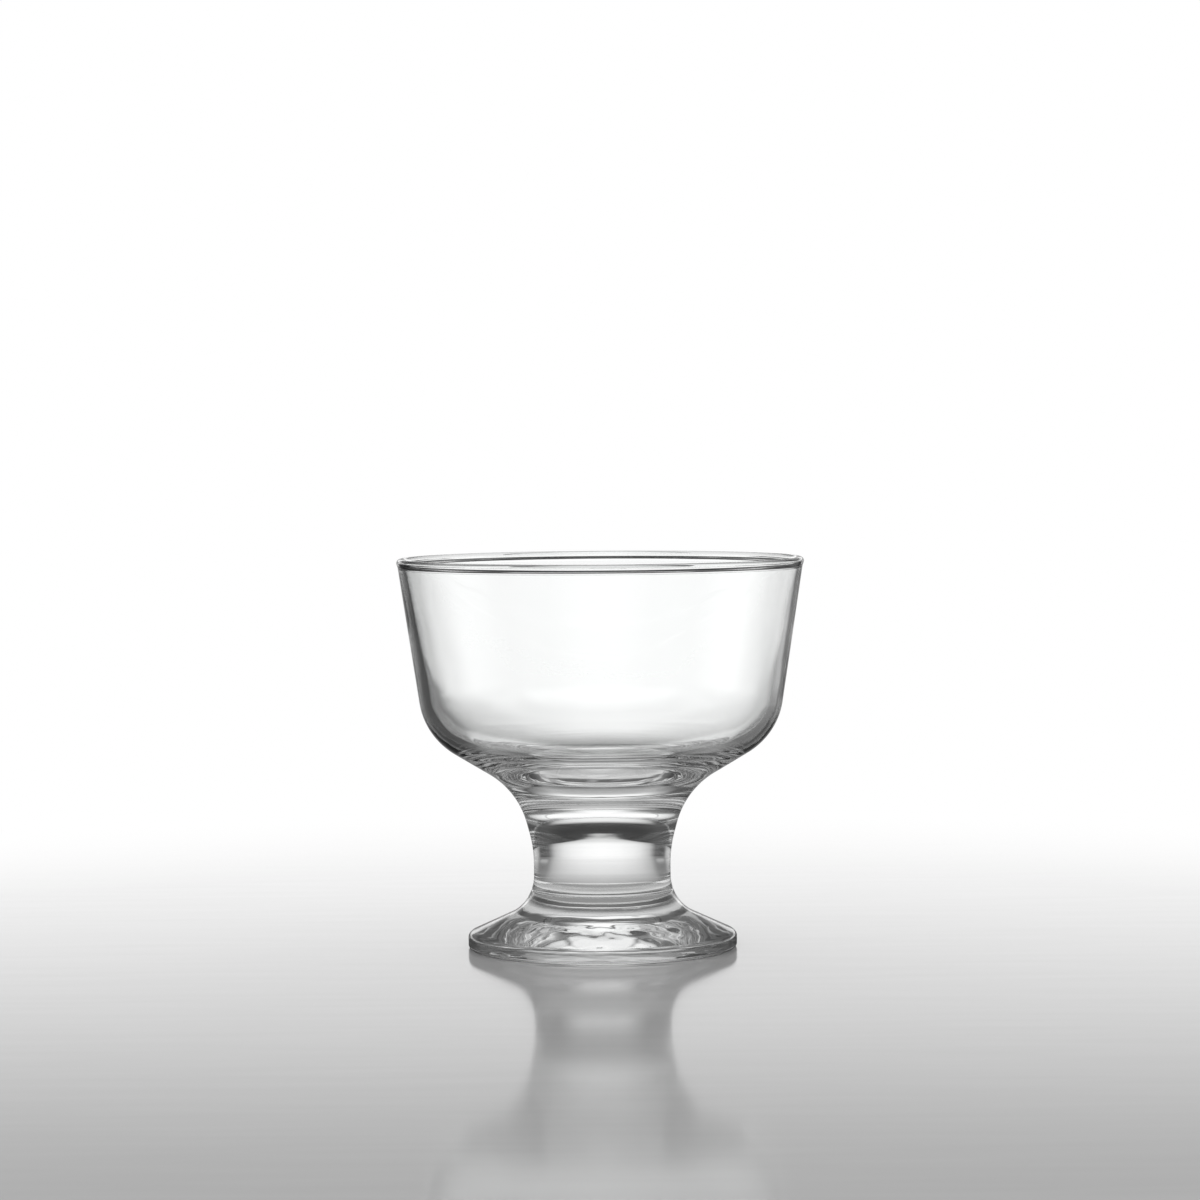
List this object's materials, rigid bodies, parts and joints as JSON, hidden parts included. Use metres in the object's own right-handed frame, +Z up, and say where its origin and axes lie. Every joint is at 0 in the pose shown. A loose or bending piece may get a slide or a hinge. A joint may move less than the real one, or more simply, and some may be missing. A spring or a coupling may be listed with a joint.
{
  "type": "footed dessert glass",
  "caption": "Low footed glass for ice cream or parfait: wide tapered bowl with a rounded lip, short solid waisted stem and sloped round foot.",
  "frame": {"origin": "centre of the standing ring under the foot, on the plane of the table", "axes": "+Z up along the axis of the glass; the glass is round, so +X and +Y may point any way"},
  "size_m": [0.1, 0.1, 0.096],
  "materials": {
    "clear_glass": "clear colourless pressed glass, fire-polished, smooth and glossy"
  },
  "bodies": {
    "root": {"bowl": "clear_glass", "stem": "clear_glass", "foot": "clear_glass"}
  },
  "joints": []
}
